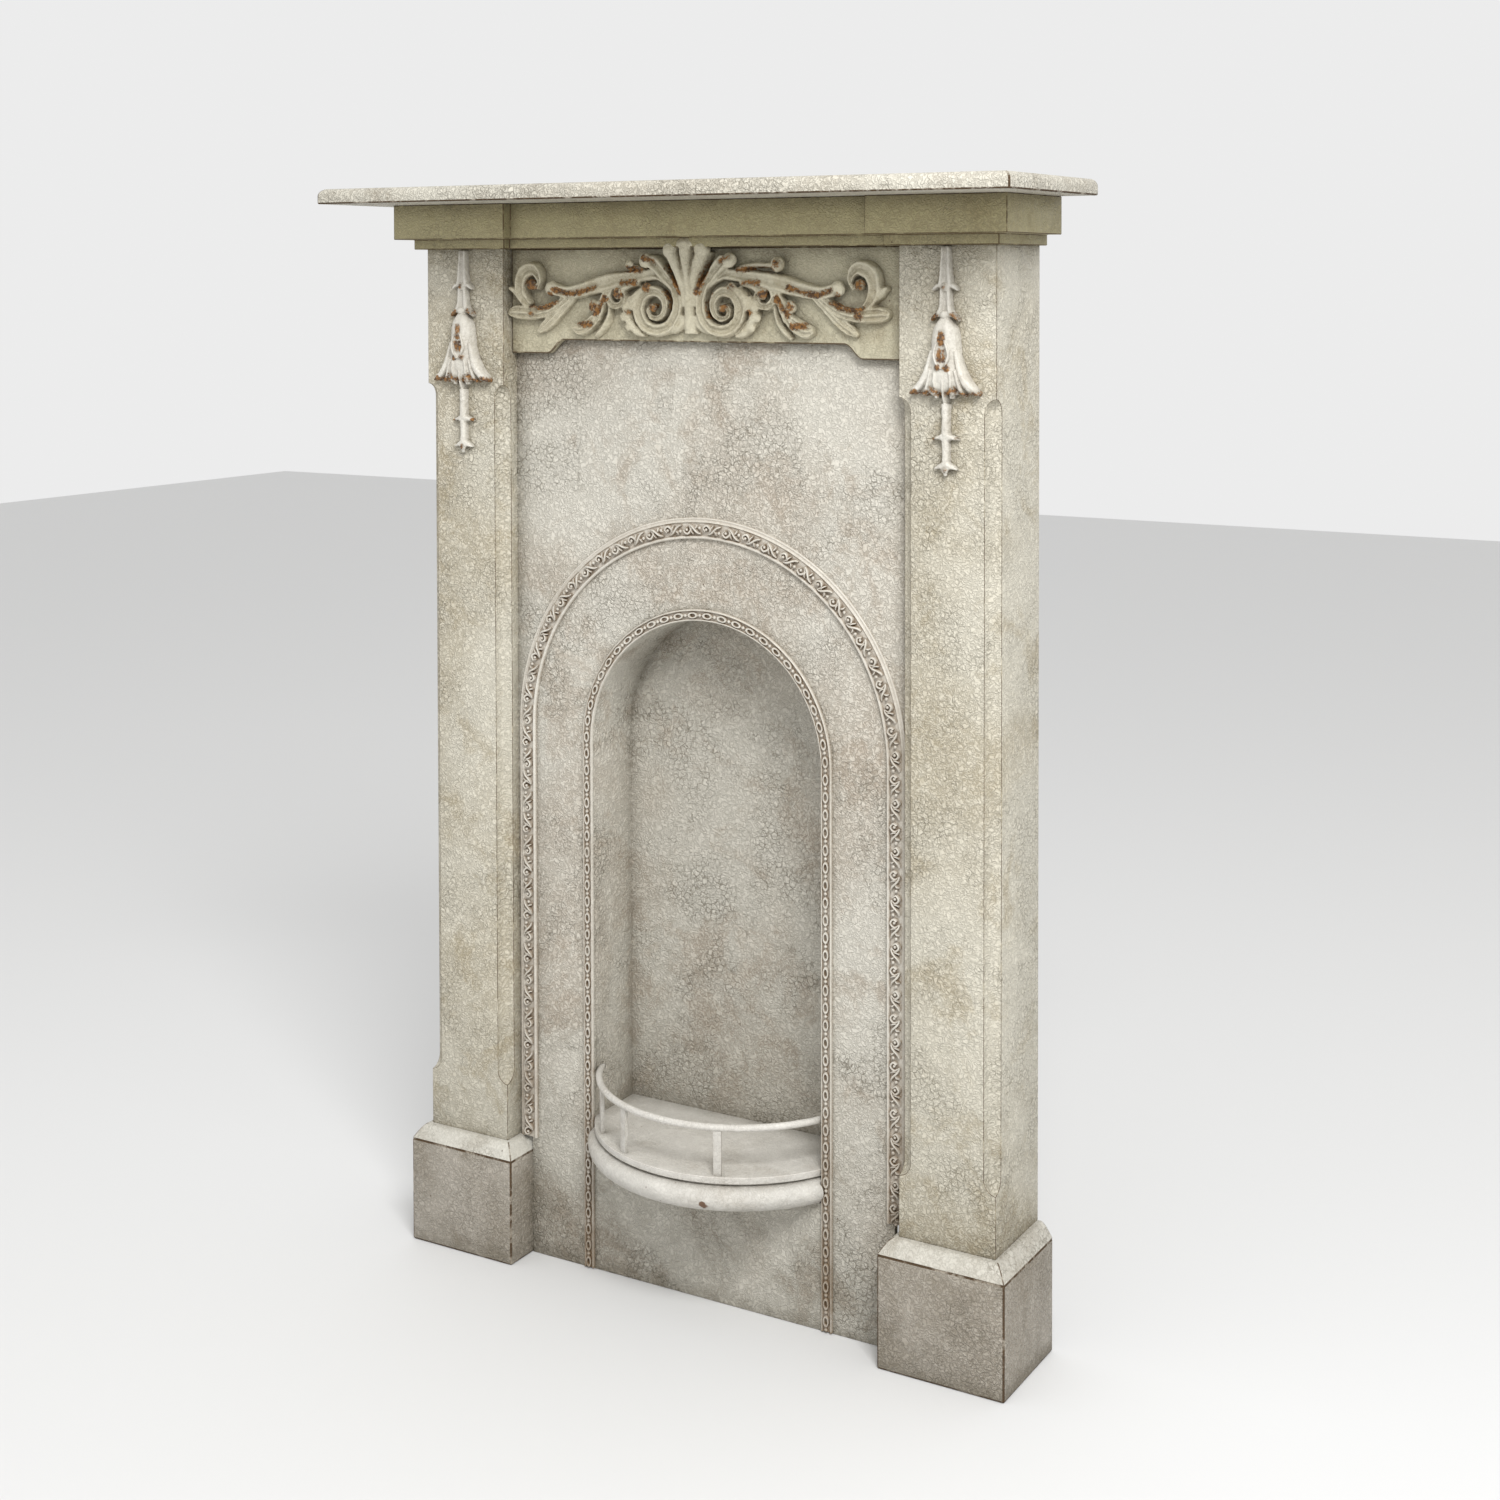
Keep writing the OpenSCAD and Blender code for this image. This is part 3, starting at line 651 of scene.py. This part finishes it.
# Paths on one side, as rows of (x, z, half width, relief) from the middle and the bed strip
VOLUTE = scroll(41, -63, [
    (62, 38, 5.5, 9), (90, 36, 6, 10), (135, 32, 6.3, 11), (180, 27, 6.5, 12), (225, 24, 7, 12.5),
    (270, 21.5, 7.2, 12.5), (315, 20.5, 7.5, 12), (360, 20, 8, 12), (405, 19.5, 7, 12),
    (450, 18.5, 6, 12), (495, 15.5, 5, 11.5), (540, 12, 4.2, 11), (585, 10.5, 3.6, 11),
    (630, 9.5, 3.2, 11), (675, 8.5, 3, 11.5), (720, 7, 2.8, 12), (765, 5, 2.5, 12.5),
    (810, 3.2, 2.4, 13)])
STEM = [(38, -28, 5.5, 9), (60, -29, 7.5, 10), (81, -32, 8.5, 11), (97, -35, 10, 11.5),
        (111, -38, 10, 11.5), (131, -43, 8.5, 11), (149, -46, 7.5, 10.5), (160, -45, 7, 11.5),
        (169, -42, 6.5, 13), (173, -41, 4, 13)]
COMMA = scroll(195.5, -37, [
    (-80, 24, 3.5, 9), (-60, 21, 6, 11), (-35, 18.5, 7.5, 12), (0, 16, 8, 12.5), (45, 16, 9, 13),
    (90, 15.5, 8.5, 13.5), (120, 13, 6, 13.5), (150, 10.5, 3.5, 13), (180, 8.8, 2.4, 12.5),
    (225, 8, 1.8, 12)])
CURL = scroll(88, -50, [(55, 12, 4, 10), (0, 11.5, 4.3, 10.5), (-60, 10.5, 4.2, 11), (-120, 9.5, 4, 11),
                        (-180, 8.5, 3.6, 11), (-240, 7, 3.2, 11.5), (-300, 5, 3, 12)])
# Strokes that both sides share, each with its section
STROKES = [
    (VOLUTE, "channel"), (STEM, "channel"), (COMMA, "channel"), (CURL, "channel"),
    # palmette: side lobes and feet
    ([(5, -60, 5, 10), (6, -45, 5.5, 12), (8, -33, 6.5, 15), (12, -20, 7.6, 17), (16.5, -9, 9, 18),
      (19.5, -2, 8.5, 19)], "dome"),
    ([(12, -58, 4, 9), (15, -48, 4.5, 10), (20, -38, 5, 12), (28, -29, 6.8, 13.5), (36, -20, 8, 15),
      (43, -14.5, 8.5, 16), (49, -13, 6, 16)], "channel"),
    ([(6, -70, 6, 9), (12, -80, 5, 8.5), (20, -85, 3.5, 7.5), (26, -86, 2, 6)], "dome"),
    # leafy side of the volute
    ([(70, -50, 5, 10), (74, -60, 6, 11), (75.5, -70, 6, 11), (70, -80, 6, 10.5), (62, -87, 5, 9),
      (54, -90, 2, 8)], "dome"),
    ([(56, -42, 4, 9), (63, -48, 5.5, 11.5), (68, -56, 6, 12), (70, -64, 5, 11)], "dome"),
    # strip leaf under the stem, the branch, its two leaves and the slim fluted leaf
    ([(60, -36, 3.5, 9), (70, -38, 4, 10.5), (79, -42, 4, 11), (85, -46, 4.5, 12)], "dome"),
    ([(98, -40, 6, 10), (103, -50, 5.5, 10), (108, -58, 6, 10), (112, -66, 6.5, 9.5), (115, -74, 6, 9)],
     "channel"),
    ([(99, -58, 3, 7), (100, -68, 4, 7.5), (104, -78, 4.5, 8), (111, -86, 4.5, 8), (118, -92, 3, 7)],
     "ridge"),
    ([(112, -68, 5, 9), (118, -75, 7, 10), (127, -81, 8, 10.5), (136, -84, 8, 11), (143, -83, 4, 11)],
     "flutes"),
    ([(145, -49, 5, 8), (153, -57, 5.5, 8), (163, -66, 6.5, 8), (173, -75, 7, 8), (184, -83, 6, 7.5),
      (192, -88, 2, 6)], "flutes"),
    # outer body and the pointed leaf above its tip
    ([(153, -52, 5, 9), (163, -59, 6, 10), (174, -65, 6.5, 10.5), (188, -68, 7, 11), (201, -68, 8, 11.5),
      (214, -67, 8.5, 11.5), (223, -67, 6.5, 11), (228, -67, 2.5, 10)], "flutes"),
    ([(210, -52, 5, 9), (217, -46, 5.5, 10), (226, -41, 2, 10.5)], "dome")]
# The tendril over the stem runs out long on the right and ends in a short hook on the left
TENDRIL = [(52, -26, 3, 8), (60, -21, 3, 8), (72, -18.5, 3, 8), (88, -18, 3, 8.5), (98, -19, 3, 9)]
HOOK = [(52, -26, 3, 8), (60, -21, 3, 8), (68, -19, 3, 8.5)]
LOBE = [(0, -88, 9, 8), (0, -75, 8.5, 10), (0, -60, 7, 11), (0, -45, 6, 13), (0, -30, 5.6, 15),
        (0, -16, 7.5, 18), (0, -4, 9.6, 20), (0, 5, 9.6, 20), (0, 9, 6, 19)]
# Rolled tips and berries: (x, z, radius, relief)
KNOBS = [(171, -42, 8, 13), (50, -13, 8, 17), (77, -61, 5, 12), (79, -71, 5, 11.6), (73, -81, 5, 11),
         (65, -86, 4, 9.5), (51, -41, 5.5, 12.5), (87, -48, 5, 12), (117, -60, 7, 11),
         (196, -38, 6, 12.5), (41, -62, 4, 13.5), (195, -68, 4, 12.6), (19, -2, 9, 19.5),
         (0, 4, 9, 20.3)]
pieces = [carve(LOBE, "dome", on_board, into_board)]
for side in (1, -1):
    for rows, section in STROKES:
        pieces.append(carve(rows, section, on_board, into_board, side))
    pieces.append(carve(TENDRIL if side > 0 else HOOK, "dome", on_board, into_board, side))
    for x, z, radius, rise in KNOBS:
        pieces.append(knob(x, z, radius, rise, on_board, side, deep=0.75))
    tip, tip_radius = (103.5, 8) if side > 0 else (71, 5)
    pieces.append(knob(tip, -17.5, tip_radius, 13, on_board, side, deep=0.75))
    # A row of nine small beads along the outer body's upper edge
    for bead in np.linspace(0, 1, 9):
        pieces.append(knob(164 + 33 * bead, -56 - 6 * math.sin(bead * 1.9), 1.9, 11.6, on_board, side,
                           deep=1.0, segments=8, rings=6))


def fuse(pieces, name, grain, most):
    """Carved strokes melted into one skin, as they are in the casting."""
    piece = join(pieces, name)
    apply_modifier(piece, "REMESH", mode="VOXEL", voxel_size=grain * MM)
    apply_modifier(piece, "SMOOTH", factor=0.5, iterations=2)
    triangles = sum(len(face.vertices) - 2 for face in piece.data.polygons)
    if triangles > most:
        apply_modifier(piece, "DECIMATE", ratio=most / triangles)
    return piece


def roughen(piece, depth, size):
    """Old casting and thick paint: the skin swells and sinks a little."""
    places = [vertex.co.copy() for vertex in piece.data.vertices]
    normals = [vertex.normal.copy() for vertex in piece.data.vertices]
    for k, (place, normal) in enumerate(zip(places, normals)):
        places[k] = place + normal * (depth * MM * noise.noise(place / (size * MM)))
    piece.data.vertices.foreach_set("co", np.array(places).ravel())
    piece.data.update()
    return piece


def mark_rust(piece, trails, centre, line):
    """How near each point lies to a trail of bare iron, 0 to 1, mirrored about the centre.

    A trail is its reach and then its points, in millimetres from the centre and the line."""
    points = np.empty(len(piece.data.vertices) * 3)
    piece.data.vertices.foreach_get("co", points)
    points = points.reshape(-1, 3) / MM
    spots = np.stack([np.abs(points[:, 0] - centre / MM), points[:, 2] - line / MM], 1)
    mark = np.zeros(len(spots))
    for reach, *trail in trails:
        for a, b in zip(trail, trail[1:] or trail):
            a, b = np.array(a, float), np.array(b, float)
            run = b - a
            t = np.clip((spots - a) @ run / max(run @ run, 1e-9), 0, 1)
            off = np.linalg.norm(spots - a - t[:, None] * run, axis=1)
            mark = np.maximum(mark, np.clip(1 - off / (1.35 * reach), 0, 1))
    layer = piece.data.attributes.new("rust", "FLOAT", "POINT")
    layer.data.foreach_set("value", mark)


scrollwork = roughen(fuse(pieces, "scrollwork", grain=0.9, most=180000), depth=0.7, size=5.0)
mark_rust(scrollwork, [
    (3.5, (116, -41), (135, -46), (150, -48), (166, -43)), (7, (41, -62)), (5, (51, -41)), (7, (87, -48)),
    (4, (65, -36), (81, -36)), (4, (26, -17), (16, -33), (11, -45)), (4, (103, -52), (115, -68)),
    (6, (117, -60)), (4, (121, -79), (134, -79)), (3.5, (164, -56), (178, -61), (190, -62), (198, -61)),
    (5, (195, -68)), (8, (196, -38)), (3.5, (58, -23), (75, -21.5), (98, -22.5)), (5, (104, -17)),
    (3, (24, -70), (22, -55), (30, -42)), (4, (171, -48)), (4, (73, -66)), (4, (51, -10), (40, -14))],
    ornament_middle, bed_line)
# Its coat is a little darker than the other carvings', as painted shade of the shelf above it.
marked_shaded_paint = old_paint("marked_shaded_carving_paint", srgb(198, 192, 170), srgb(158, 145, 114),
                         srgb(88, 74, 46), srgb(136, 92, 38), crackle=0.5, dirt=1.35,
                         hollow=0.009, skin=0.5, marked=True)
finish_carving(scrollwork, marked_shaded_paint, "scroll_ornament")


# ---------------------------------------------------------------------------------------------
# Bellflowers. A drop of husks, an open bell flower and two small flared finials hangs down
# each pilaster from the bed strip. Cast apart and screwed on; one pattern serves both sides.
# ---------------------------------------------------------------------------------------------
drop_paint = old_paint("drop_carving_paint", srgb(206, 203, 194), STAIN, srgb(88, 74, 46),
                       srgb(136, 92, 38), crackle=0.4, blotch=0.6, dirt=1.2, hollow=0.008,
                       skin=0.3, marked=True)
drop_low, drop_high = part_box("bellflower_right")
drop_middle = (drop_low.x + drop_high.x) / 2
pilaster_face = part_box("pilaster_right")[0].y


def on_pilaster(x, z, rise):
    """A place on the pilaster, x from its middle and z from the bed strip's underside."""
    return drop_middle + x * MM, pilaster_face - rise * MM, bed_line + z * MM


def into_pilaster(co):
    """The back of the casting: a little way into the pilaster, wherever the point is."""
    return pilaster_face + 0.4 * MM


drop = [carve(rows, section, on_pilaster, into_pilaster) for rows, section in (
    ([(0, -1, 5, 7), (0, -15, 5.5, 8), (0, -28, 6.5, 8.5), (0, -36, 8, 9), (0, -40, 10.5, 8)], "channel"),
    ([(0, -40, 6, 8), (0, -58, 7, 9), (0, -64, 10, 10), (0, -68, 12, 9)], "channel"),
    ([(0, -68, 5, 8), (0, -72, 8.5, 11), (0, -80, 13, 13.5), (0, -90, 15, 14), (0, -102, 15.8, 13.5),
      (0, -115, 18, 13), (0, -128, 22.5, 12), (0, -136, 27, 10), (0, -141, 31, 7)], "dome"),
    ([(0, -112, 3, 12), (0, -125, 4.5, 13), (0, -140, 4.5, 12), (0, -148, 3, 9), (0, -153, 1, 6)],
     "ridge"),
    ([(0, -150, 4.5, 8), (0, -165, 4.2, 8), (0, -178, 4.5, 8)], "dome"),
    ([(0, -179, 5, 8), (0, -182, 12, 7.5), (0, -185, 5, 7)], "dome"),
    ([(0, -184, 4, 7.5), (0, -206, 4, 7.5)], "dome"),
    ([(0, -206, 5, 7.5), (0, -210, 11, 7), (0, -213, 4, 7)], "dome"))]
for side in (1, -1):
    drop += [carve(rows, section, on_pilaster, into_pilaster, side) for rows, section in (
        # loop of the bell's mouth, folds and petals
        ([(1, -88, 1.9, 15), (5, -94, 2, 16), (7.4, -103, 2.1, 16.2), (5.5, -111, 2.2, 16),
          (1, -117, 2, 15)], "dome"),
        ([(7, -117, 2.6, 13.5), (8.5, -126, 3, 13.5), (8, -138, 3, 12), (7.5, -145, 2, 9)], "dome"),
        ([(12, -100, 3, 11), (15.5, -114, 4, 12.2), (20, -126, 5, 12.5), (25.5, -133.5, 5, 12),
          (31, -138, 4, 11), (36, -141, 1.6, 9)], "dome"),
        ([(12.5, -118, 2.2, 12.5), (15, -128, 2.8, 12.5), (18, -137, 3, 11), (22, -142, 2.4, 9)], "dome"),
        ([(8, -66, 3, 8), (12, -69, 2, 8), (15, -72, 1, 6)], "dome"),
        ([(7, -38, 3, 8), (11, -41, 2, 7.5), (13, -43, 1, 6)], "dome"),
        ([(6, -182, 2.5, 7), (14, -184, 1, 5)], "dome"), ([(5, -210, 2.5, 7), (12, -212, 1, 5)], "dome"))]
    drop.append(knob(5, -116, 3, 15, on_pilaster, side))
    drop.append(knob(9, -139, 3.4, 13, on_pilaster, side))
drop += [knob(0, z, radius, rise, on_pilaster) for z, radius, rise in (
    (-83, 3, 15.2), (-88, 2.8, 15.4), (-92.5, 2.6, 15.4), (-213, 3.5, 8), (-217, 2, 6),
    (-40, 4, 10), (-66, 4, 11))]
bellflower = roughen(fuse(drop, "bellflower_pattern", grain=0.6, most=90000), depth=0.4, size=4.0)
mark_rust(bellflower, [
    (4, (0, -83), (0, -93)), (3.5, (5, -116)), (4, (4, -140), (12, -136)), (3.5, (17, -140), (24, -141)),
    (3.5, (30, -139), (36, -141)), (3, (2, -100), (2, -108)), (3, (0, -212)), (3, (8, -66), (13, -70)),
    (3, (0, -40)), (2.5, (12, -183))], drop_middle, bed_line)
for side, name in ((1, "right"), (-1, "left")):
    flower = bellflower.copy()
    flower.data = bellflower.data.copy()
    flower.name = flower.data.name = f"bellflower_drop_{name}"
    bpy.context.scene.collection.objects.link(flower)
    if side < 0:
        flower.data.transform(Matrix.Translation((-2 * drop_middle, 0, 0)))
    finish_carving(flower, drop_paint, f"bellflower_{name}")
bpy.data.objects.remove(bellflower)


# ---------------------------------------------------------------------------------------------
# Floor, light and camera. A pale floor under an even pale surround, one large soft light high
# at the front right and a weak one low at the left. The camera stands at the front right,
# almost level, and its shift sets the object low in the frame.
# ---------------------------------------------------------------------------------------------
bpy.ops.mesh.primitive_plane_add(size=14, location=(0, 0, -0.0005))
floor = bpy.context.object
floor.name = "floor"
floor_material = bpy.data.materials.new("pale_floor")
floor_material.use_nodes = True
floor_shader = floor_material.node_tree.nodes["Principled BSDF"]
floor_shader.inputs["Base Color"].default_value = (0.68, 0.68, 0.675, 1)
floor_shader.inputs["Roughness"].default_value = 0.7
floor.data.materials.append(floor_material)

world = bpy.data.worlds.new("studio")
bpy.context.scene.world = world
world.use_nodes = True
world.node_tree.nodes["Background"].inputs["Color"].default_value = (1.0, 1.0, 1.0, 1)
world.node_tree.nodes["Background"].inputs["Strength"].default_value = 0.84


def soft_light(name, place, target, size, power):
    """A square soft box at a place, turned to a target."""
    lamp = bpy.data.lights.new(name, "AREA")
    lamp.size = size
    lamp.energy = power
    box = bpy.data.objects.new(name, lamp)
    bpy.context.scene.collection.objects.link(box)
    box.location = place
    box.rotation_euler = (Vector(target) - Vector(place)).to_track_quat("-Z", "Y").to_euler()


soft_light("key", (1.6, -1.75, 2.8), (0.15, 0, 0.75), 1.1, 96)
soft_light("fill", (-2.4, -2.6, 1.6), (0, 0, 0.5), 2.2, 5)

camera_data = bpy.data.cameras.new("camera")
camera = bpy.data.objects.new("camera", camera_data)
bpy.context.scene.collection.objects.link(camera)
bpy.context.scene.camera = camera
camera.location = (1.1660, -1.8521, 1.0579)
tilt_down, roll, heading = 1.693, 0.091, 29.936
camera.rotation_euler = [math.radians(turn) for turn in (90 - tilt_down, roll, heading)]
camera_data.sensor_width = 36
camera_data.lens = 51.97
camera_data.shift_x = -0.0160
camera_data.shift_y = -0.2737
camera_data.clip_start = 0.05

bpy.context.scene.view_settings.view_transform = "Standard"
